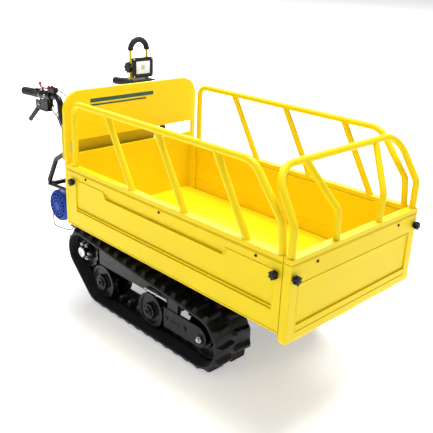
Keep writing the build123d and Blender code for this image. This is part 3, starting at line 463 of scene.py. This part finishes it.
BELT = 0.011
LUG = 0.018
PITCHES = 36
STEPS = 1440
LOOP, LOOP_LENGTH = loop_points(BELT)
TANGENT = np.roll(LOOP, -3, axis=0) - np.roll(LOOP, 3, axis=0)
TANGENT /= np.linalg.norm(TANGENT, axis=1)[:, None]
OUTWARD = np.stack([TANGENT[:, 1], -TANGENT[:, 0]], 1)
# The lug phase of the CAD belt: a tread lug of the inner row stands here on the lower run.
LUG_X = TUB_X - 0.2374
bottom = np.where(LOOP[:, 1] < 0.0185)[0]
START = int(bottom[np.argmin(np.abs(LOOP[bottom, 0] - LUG_X))])


def belt_frame(i, y):
    """Matrix on the belt's outer face: X along the belt, Y across, Z outwards."""
    i = int(round(i)) % STEPS
    t, n = TANGENT[i], OUTWARD[i]
    m = Matrix.Identity(4)
    for c, column in enumerate(((t[0], 0, t[1]), (0, 1, 0), (n[0], 0, n[1]), (LOOP[i][0], y, LOOP[i][1]))):
        for j in range(3):
            m[j][c] = column[j]
    return m


for side, s in SIDES.items():
    low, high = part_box("track_" + side)
    half = (high.y - low.y) / 2
    centre = (high.y + low.y) / 2
    belt = Mesh()
    # Carcass cross-section: (across, height) with a rolled edge and moulded ribs on the inside.
    section = [(-half, -0.002), (-half + 0.0015, 0.0), (-half + 0.004, 0.0008), (-0.030, 0.0008),
               (0.030, 0.0008), (half - 0.004, 0.0008), (half - 0.0015, 0.0), (half, -0.002),
               (half, -BELT + 0.002), (half - 0.002, -BELT + 0.0005)]
    for k in range(6):
        base = half - 0.010 - k * 0.0085
        section += [(base, -BELT + 0.0005), (base - 0.0015, -BELT - 0.0012),
                    (base - 0.0045, -BELT - 0.0012), (base - 0.006, -BELT + 0.0005)]
    section += [(a * -1, b) for a, b in section[:9:-1]]
    section += [(-half + 0.002, -BELT + 0.0005), (-half, -BELT + 0.002)]
    ring = len(section)
    loops = list(range(0, STEPS, 4))
    verts, faces = [], []
    for i in loops:
        m = belt_frame(i, centre)
        verts += [m @ Vector((0, a, b)) for a, b in section]
    for j in range(len(loops)):
        for k in range(ring):
            a, b = j * ring, ((j + 1) % len(loops)) * ring
            n = (k + 1) % ring
            faces.append((a + k, a + n, b + n, b + k))
    belt.add(verts, faces)
    carcass = piece("belt_" + side, belt, "rubber", "chassis", weld=False, angle=40)

    # Tread lugs: staggered paddles, wide at the shoulder and narrowing to a skewed toe.
    tread = Mesh()
    for i in range(PITCHES):
        for row, phase in ((-1, 0.0), (1, 0.5)):
            inner = -1 if s > 0 else 1
            at = START + (i + (0.0 if row == inner else 0.5)) * STEPS / PITCHES
            m = belt_frame(at, centre)
            out = row * (half - 0.0015)
            toe = row * 0.004
            foot = [(-0.0145, out), (0.0145, out), (0.0130, row * half * 0.55), (0.0185, row * half * 0.30),
                    (0.0165, toe), (-0.0075, toe), (-0.0105, row * half * 0.55)]
            top = [(-0.0085, out - row * 0.013), (0.0075, out - row * 0.013), (0.0070, row * half * 0.55),
                   (0.0115, row * half * 0.30), (0.0100, toe + row * 0.006), (-0.0020, toe + row * 0.006),
                   (-0.0060, row * half * 0.55)]
            n = len(foot)
            v = [(x, y, -0.001) for x, y in foot] + [(x, y, LUG) for x, y in top]
            f = [list(range(n, 2 * n))] + [(k, (k + 1) % n, n + (k + 1) % n, n + k) for k in range(n)]
            tread.add(v, f, m)
    lugs = piece("tread_lugs_" + side, tread, "rubber", "chassis", bevel=0.0022, weld=False)

    # Guide lugs: tapered teeth with worn tips.
    guide = Mesh()
    for i in range(PITCHES):
        m = belt_frame(START + (i + 0.25) * STEPS / PITCHES, centre)
        for a, b, depth, mat in ((0.0145, 0.0085, 0.018, 0), (0.0085, 0.0050, 0.0255, 1)):
            guide.current = mat
            z0 = -BELT + 0.001 if mat == 0 else -BELT - 0.018
            z1 = -BELT - depth
            w0 = 0.018 if mat == 0 else 0.0150
            w1 = 0.0150 if mat == 0 else 0.0115
            v = [(x, y, z0) for x, y in ((-a, -w0), (a, -w0), (a, w0), (-a, w0))]
            v += [(x, y, z1) for x, y in ((-b, -w1), (b, -w1), (b, w1), (-b, w1))]
            f = [(4, 5, 6, 7)] + [(k, (k + 1) % 4, 4 + (k + 1) % 4, 4 + k) for k in range(4)]
            guide.add(v, f, m)
    teeth = piece("guide_lugs_" + side, guide, ["rubber", "rubber_tip"], "chassis", bevel=0.0012, weld=False)
    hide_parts("track_" + side)

# ---------------------------------------------------------------- running gear details
STUD_CIRCLE = 0.033
for side, s in SIDES.items():
    for name in ("rear_roller_", "front_roller_"):
        c = middle(name + side)
        face = c.y + s * 0.0605
        cap = Mesh()
        at = axis_at((c.x, face - s * 0.001, c.z), (0, s, 0))
        cap.lathe([(0.0335, 0.0), (0.0335, 0.0025), (0.0315, 0.0042), (0.0265, 0.0042), (0.0255, 0.0020),
                   (0.0235, 0.0020)], at, 48)
        piece("bearing_ring_" + name + side, cap, "wheel", name + side + "_body", bevel=0.0005, angle=25)
        edge = Mesh()
        at = axis_at((c.x, c.y + s * 0.052, c.z), (0, s, 0))
        edge.lathe([(0.0742, -0.003), (0.0752, 0.0), (0.0742, 0.0012), (0.0715, 0.0012), (0.0705, -0.003)],
                   at, 72, closed=True)
        piece("rim_band_" + name + side, edge, "wheel", name + side + "_body", angle=25)
        bolt = Mesh()
        at = axis_at((c.x, s * 0.293, c.z), (0, s, 0))
        bolt.lathe([(0.0165, 0.0), (0.0165, 0.0015), (0.013, 0.0028), (0.0, 0.0028)], at, 36)
        bolt.prism(polygon(0.0100, 6), 0.0020, 0.0090, at, 0.94)
        piece("axle_bolt_" + name + side, bolt, "wheel", "chassis", bevel=0.0007)

    c = middle("sprocket_" + side)
    hub = Mesh()
    at = axis_at((c.x, s * 0.3025, c.z), (0, s, 0))
    hub.lathe([(0.0225, 0.0), (0.0225, 0.003), (0.0195, 0.0055), (0.013, 0.0055), (0.012, 0.003),
               (0.0, 0.003)], at, 40)
    piece("sprocket_cap_" + side, hub, "steel", "sprocket_" + side + "_body", bevel=0.0006, angle=25)
    studs = Mesh()
    for i in range(6):
        a = math.radians(60 * i)
        at = axis_at((c.x + STUD_CIRCLE * math.cos(a), s * 0.2895, c.z + STUD_CIRCLE * math.sin(a)),
                     (0, s, 0))
        hex_bolt(studs, at, 0.0105, 0.0060, 1.2)
    piece("sprocket_bolts_" + side, studs, "steel", "sprocket_" + side + "_body", bevel=0.0004)

# ---------------------------------------------------------------- screws on the sheet metal
SIDE_FACE_Y = 354
FRONT_FACE_X = 600
SCREW_R = 0.0050
SCREW_H = 0.0036
for side, s in SIDES.items():
    mesh = Mesh()
    for x in (-465, -7, 459):
        socket_screw(mesh, axis_at(V(x, s * SIDE_FACE_Y, 591), (0, s, 0)), SCREW_R, SCREW_H)
    piece("side_screws_" + side, mesh, "plastic", "side_" + side, bevel=0.0003)
mesh = Mesh()
for y in (-229, 229):
    socket_screw(mesh, axis_at(V(FRONT_FACE_X, y, 586), (1, 0, 0)), SCREW_R, SCREW_H)
piece("front_screws", mesh, "plastic", "front_gate", bevel=0.0003)


# ---------------------------------------------------------------- pressed beads, tube ends, fork plates
BEAD = 0.0030
for side, s in SIDES.items():
    mesh = Mesh()
    y = s * 353.6
    jog = [(-540, 570), (-346, 570), (-332, 541), (314, 541), (328, 570), (533, 570)]
    mesh.tube([V(x, y, z) for x, z in jog], BEAD, 10)
    for z in (434, 446):
        mesh.tube([V(-540, y, z), V(533, y, z)], BEAD, 10)
    for x in (-541, 534):
        mesh.tube([V(x, y, 570), V(x, y, 434)], BEAD * 0.7, 10)
    mesh.tube([V(-597, y, 366), V(563, y, 366)], BEAD, 10)
    mesh.tube([V(-597, y, 598), V(563, y, 598)], BEAD * 0.8, 10)
    piece("side_beads_" + side, mesh, "yellow", "side_" + side, angle=60, weld=False)

    caps = Mesh()
    for x, turn in ((-600, -1), (566, 1)):
        at = axis_at(V(x - turn * 1.5, s * 339, 614.5), (turn, 0, 0), (0, 1, 0))
        caps.prism([(a * u, b * v) for a, b, u, v in (
            (-1, -1, 0.0135, 0.0085), (1, -1, 0.0135, 0.0085), (1, -1, 0.015, 0.0070), (1, 1, 0.015, 0.0070),
            (1, 1, 0.0135, 0.0085), (-1, 1, 0.0135, 0.0085), (-1, 1, 0.015, 0.0070),
            (-1, -1, 0.015, 0.0070))],
                   0.0, 0.0018, at, 0.985)
    piece("rail_caps_" + side, caps, "yellow", "side_" + side, bevel=0.0004)

    plate = Mesh()
    at = axis_at(V(0, s * 292, 130), (0, s, 0), (1, 0, 0))
    outline = [(-0.0478, -0.0418), (0.149, -0.0418)]
    outline += [(0.149 + 0.0418 * math.cos(math.radians(a)), 0.0418 * math.sin(math.radians(a)))
                for a in range(-80, 81, 10)]
    outline += [(0.149, 0.0418), (-0.0478, 0.0418)]
    plate.prism(outline, 0.0, 0.0016, at)
    for x in (-0.030, 0.075):
        plate.lathe([(0.0085, 0.0), (0.0085, 0.0045), (0.0055, 0.0060), (0.0, 0.0060)],
                    at @ Matrix.Translation((x, 0.0, 0.0015)), 24)
    piece("fork_plate_" + side, plate, "plate", "chassis", bevel=0.0005, angle=25)
    # The slot is a thin near-black sheet on the plate: painted shade for the dark seen through the open slot.
    slot = Mesh()
    slot.prism([(0.0, -0.008), (0.045, -0.008), (0.0505, -0.0055), (0.053, 0.0), (0.0505, 0.0055),
                (0.045, 0.008), (0.0, 0.008), (-0.0055, 0.0055), (-0.008, 0.0), (-0.0055, -0.0055)],
               0.0014, 0.0019, at)
    piece("fork_slot_painted_shade_" + side, slot, "dark", "chassis", bevel=0.0001, angle=25)
    nut = Mesh()
    hex_bolt(nut, axis_at(V(160, s * 299, 125), (0, s, 0)), 0.0155, 0.0085, 2.0)
    piece("idler_nut_" + side, nut, "steel", "chassis", bevel=0.0005)

mesh = Mesh()
for z in (533, 391, 366):
    mesh.tube([V(599.6, -312, z), V(599.6, 312, z)], BEAD, 10)
for y in (-313, 313):
    mesh.tube([V(599.6, y, 533), V(599.6, y, 366)], BEAD * 0.8, 10)
mesh.tube([V(599.6, -350, 598), V(599.6, 350, 598)], BEAD * 0.8, 10)
piece("front_beads", mesh, "yellow", "front_gate", angle=60, weld=False)
caps = Mesh()
for turn in (-1, 1):
    at = axis_at(V(585, turn * 352.5, 614.5), (0, turn, 0), (1, 0, 0))
    caps.prism([(-0.0135, -0.0085), (0.0135, -0.0085), (0.015, -0.0070), (0.015, 0.0070), (0.0135, 0.0085),
                (-0.0135, 0.0085), (-0.015, 0.0070), (-0.015, -0.0070)], 0.0, 0.0018, at, 0.985)
piece("front_rail_caps", caps, "yellow", "front_gate", bevel=0.0004)
post = Mesh()
for s in SIDES.values():
    hex_bolt(post, axis_at(V(-798, s * 267, 786), (0, s, 0)), 0.0105, 0.0060, 1.4)
piece("post_bolts", post, "steel", "chassis", bevel=0.0004)

# ---------------------------------------------------------------- drive motor cover with a slotted grille
motor = middle("motor_cover")
R = 0.072
cover = Mesh()
at = axis_at((motor.x, 0, motor.z), (0, -1, 0), (0, 0, 1))
cover.lathe([(0.0695, 0.242), (R, 0.242), (R, 0.284), (0.0700, 0.291), (0.0640, 0.2965), (0.0575, 0.2990),
             (0.0575, 0.2962), (0.0630, 0.2935), (0.0675, 0.2885), (0.0695, 0.2820)], at, 72, closed=True)
for r, h in ((0.0455, 0.2998), (0.0315, 0.3000), (0.0175, 0.3000)):
    cover.lathe([(r - 0.0022, h - 0.0030), (r + 0.0022, h - 0.0030), (r + 0.0022, h - 0.0005), (r, h),
                 (r - 0.0022, h - 0.0005)], at, 60, closed=True)
for i in range(16):
    turn = Matrix.Rotation(2 * math.pi * i / 16, 4, "Z")
    cover.prism([(0.0165, -0.0018), (0.0590, -0.0026), (0.0590, 0.0026), (0.0165, 0.0018)],
                0.2968, 0.2992, at @ turn)
cover.lathe([(0.0170, 0.2965), (0.0170, 0.2990), (0.0120, 0.3000), (0.0, 0.3000)], at, 36)
for i in range(4):
    a = math.pi / 4 + math.pi * i / 2
    cover.prism(polygon(0.0045, 10), 0.001, 0.0035,
                axis_at((motor.x + 0.0715 * math.cos(a), -0.256, motor.z + 0.0715 * math.sin(a)),
                        (math.cos(a), 0, math.sin(a))) @ Matrix.Translation((0, 0, -0.0025)))
piece("fan_cowl", cover, "blue", "chassis", bevel=0.0004, replaces=("motor_cover",), angle=28)

# ---------------------------------------------------------------- handlebar: grips, switch housings, levers
RIB_PITCH = 0.0066
BAR = {side: (V(-1097, s * 253, 835.5), (V(-798, s * 253, 853) - V(-1097, s * 253, 835.5)).normalized())
       for side, s in SIDES.items()}
for side, s in SIDES.items():
    start, along = BAR[side]
    at = axis_at(start, along, (0, 0, 1))
    grip = Mesh()
    profile = [(0.0, -0.0040), (0.0150, -0.0040), (0.0185, -0.0022), (0.0195, 0.001), (0.0195, 0.004),
               (0.0180, 0.007)]
    h = 0.010
    while h < 0.090:
        bulge = 0.0180 + 0.0009 * math.sin(math.pi * (h - 0.010) / 0.080)
        profile += [(bulge - 0.0012, h), (bulge, h + 0.0012), (bulge, h + 0.0042),
                    (bulge - 0.0012, h + 0.0054)]
        h += RIB_PITCH
    profile += [(0.0180, h), (0.0190, h + 0.003), (0.0208, h + 0.005), (0.0208, 0.1065), (0.0195, 0.108),
                (0.0141, 0.108)]
    grip.lathe(profile, at, 48)
    piece("ribbed_grip_" + side, grip, "grip", "chassis", replaces=("grip_" + side,), angle=40)
    ring = Mesh()
    ring.lathe([(0.0150, 0.1445), (0.0183, 0.1445), (0.0190, 0.1460), (0.0183, 0.1480), (0.0150, 0.1480)],
               at, 40, closed=True)
    piece("clamp_band_" + side, ring, "steel", "chassis", angle=30)
    lever_clamp = Mesh()
    spot = start + along * 0.208 + Vector((0, s * 0.0205, 0))
    hex_bolt(lever_clamp, axis_at(spot, (0, s, 0)), 0.0085, 0.005, 1)
    piece("clamp_bolt_" + side, lever_clamp, "steel", "chassis", bevel=0.0003)
    pivot = Mesh()
    for c in (-1, 1):
        hex_bolt(pivot, axis_at(V(-956, s * 253 + c * 12.5, 800), (0, c, 0)), 0.0080, 0.0040, 1)
    piece("lever_pivot_bolts_" + side, pivot, "steel", "chassis", bevel=0.0003)

# Rocker switch on the right-hand switch housing.
start, along = BAR["right"]
at = axis_at(start, along, (0, 0, 1))
switch = Mesh()
switch.add([Vector((0.0225, y, h)) for y, h in
            ((-0.010, 0.116), (0.010, 0.116), (0.010, 0.138), (-0.010, 0.138))]
           + [Vector((0.0262 if h < 0.125 else 0.0240, y, h)) for y, h in
              ((-0.008, 0.118), (0.008, 0.118), (0.008, 0.136), (-0.008, 0.136))],
           [(4, 5, 6, 7), (0, 1, 5, 4), (1, 2, 6, 5), (2, 3, 7, 6), (3, 0, 4, 7)], at)
piece("rocker_switch", switch, "teal", "chassis", bevel=0.0008, weld=False)

# ---------------------------------------------------------------- work lamp
CORNERS = ((-1, -1), (1, -1), (1, 1), (-1, 1))
lamp = middle("lamp_lens")
low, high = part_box("lamp_head")
front_x = high.x
mesh = Mesh()
for y in (-1, 1):
    for z in (-1, 1):
        at = axis_at((front_x - 0.0002, lamp.y + y * 0.0535, lamp.z + z * 0.0405), (1, 0, 0))
        mesh.lathe([(0.0042, 0), (0.0042, 0.0012), (0.0030, 0.0022), (0.0, 0.0022)], at, 20)
piece("bezel_screws", mesh, "chrome", "lamp", bevel=0.0002)
mesh = Mesh()
base = front_x - 0.0019
v, f = [], []
for x, w, h in ((base + 0.0010, 0.0398, 0.0288), (base, 0.0300, 0.0200), (base + 0.0002, 0.0110, 0.0110)):
    v += [(x, lamp.y + a * w, lamp.z + b * h) for a, b in CORNERS]
for k in (0, 4):
    f += [(k + a, k + (a + 1) % 4, k + 4 + (a + 1) % 4, k + 4 + a) for a in range(4)]
mesh.add(v, f)
mesh.current = 1
v, f = [], []
for i in range(4):
    for j in range(4):
        y, z, n = lamp.y - 0.0082 + 0.0055 * i, lamp.z - 0.0082 + 0.0055 * j, len(v)
        v += [(base + 0.0004, y + a * 0.0021, z + b * 0.0021) for a, b in CORNERS]
        v += [(base + 0.0008, y + a * 0.0015, z + b * 0.0015) for a, b in CORNERS]
        f += [(n + 4, n + 5, n + 6, n + 7)]
        f += [(n + a, n + (a + 1) % 4, n + 4 + (a + 1) % 4, n + 4 + a) for a in range(4)]
mesh.add(v, f)
piece("reflector", mesh, ["mirror", "led"], "lamp", weld=False)
mesh = Mesh()
mesh.prism([(a * 0.0396, b * 0.0286) for a, b in CORNERS], 0.0, 0.0008,
           axis_at((front_x - 0.0009, lamp.y, lamp.z), (1, 0, 0), (0, 1, 0)))
piece("lamp_pane", mesh, "glass", "lamp", bevel=0.0002, replaces=("lamp_lens",))

foam = Mesh()
low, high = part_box("lamp_handle")
cy, cz, cx = (low.y + high.y) / 2, low.z, (low.x + high.x) / 2
arch_r = (high.y - low.y) / 2 - 0.014
points, radii = [], []
for i in range(49):
    a = math.pi * i / 48
    points.append((cx, cy + arch_r * math.cos(a), cz + 0.0002 + arch_r * math.sin(a)))
    radii.append(0.0138 - (0.0016 if i in (0, 48) else 0) + 0.0002 * math.sin(i * 1.7))
foam.tube(points, radii, 20)
piece("foam_handle", foam, "foam", "chassis", replaces=("lamp_handle",), angle=50)

# ---------------------------------------------------------------- generic film stripes
FILM = 0.0004
wall_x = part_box("rear_wall")[1].x + 0.0001
film = Mesh()


def strip(mesh, y0, y1, z0, z1, x):
    v = [(x, y0, z0), (x, y1, z0), (x, y1, z1), (x, y0, z1)]
    v += [(x + FILM, b, c) for _, b, c in v]
    mesh.add(v, [(4, 5, 6, 7), (0, 1, 5, 4), (1, 2, 6, 5), (2, 3, 7, 6), (3, 0, 4, 7)])


strip(film, -0.230, 0.100, 0.862, 0.878, wall_x)
strip(film, -0.230, 0.060, 0.848, 0.855, wall_x)
piece("headboard_stripes", film, "green", "tub", weld=False)

# ---------------------------------------------------------------- stage, light and camera
floor_mesh = bpy.data.meshes.new("floor")
floor_mesh.from_pydata([(-30, -30, 0), (30, -30, 0), (30, 30, 0), (-30, 30, 0)], [], [(0, 1, 2, 3)])
floor = bpy.data.objects.new("floor", floor_mesh)
scene.collection.objects.link(floor)
pale = material("pale_floor", (0.93, 0.93, 0.93), 0.9, vary=0.004, vary_scale=0.6, grain=0.01,
                grain_scale=60, emit=(1, 1, 1, 0.42), specular=0.1)
floor_mesh.materials.append(pale)

world = bpy.data.worlds.new("studio")
world.use_nodes = True
world.node_tree.nodes["Background"].inputs["Color"].default_value = (1, 1, 1, 1)
world.node_tree.nodes["Background"].inputs["Strength"].default_value = 0.34
scene.world = world


def area(name, at, target, size, power, colour=(1, 1, 1)):
    data = bpy.data.lights.new(name, "AREA")
    data.shape, data.size, data.size_y = "RECTANGLE", size[0], size[1]
    data.energy, data.color = power, colour
    ob = bpy.data.objects.new(name, data)
    scene.collection.objects.link(ob)
    ob.location = at
    ob.rotation_euler = (Vector(target) - Vector(at)).to_track_quat("-Z", "Y").to_euler()
    return ob


area("key", (0.3, 0.5, 4.6), (0.0, -0.1, 0.4), (1.6, 1.6), 205)
area("side_fill", (-0.4, -5.0, 2.6), (0.1, 0, 0.4), (2.2, 1.6), 32)
area("front_fill", (5.2, -0.4, 2.2), (0.1, 0, 0.4), (2.2, 1.6), 8)
area("backdrop_wash", (-6.5, 6.5, 7.0), (-7.5, 7.5, 0.0), (8.0, 8.0), 2600)

scene.view_settings.view_transform = "Standard"
scene.view_settings.look = "None"

yaw, pitch, roll = math.radians(135.12686), math.radians(21.43779), math.radians(2.30655)
forward = Vector((math.cos(pitch) * math.cos(yaw), math.cos(pitch) * math.sin(yaw), -math.sin(pitch)))
level = forward.cross(Vector((0, 0, 1))).normalized()
lift = level.cross(forward)
right = level * math.cos(roll) + lift * math.sin(roll)
up = lift * math.cos(roll) - level * math.sin(roll)
camera_data = bpy.data.cameras.new("camera")
camera_data.lens = 54.545
camera_data.sensor_width = 36
camera = bpy.data.objects.new("camera", camera_data)
scene.collection.objects.link(camera)
place = Matrix.Identity(4)
for i, column in enumerate((right, up, -forward, V(1665.39, -1731.69, 1430.78))):
    for j in range(3):
        place[j][i] = column[j]
camera.matrix_world = place
scene.camera = camera
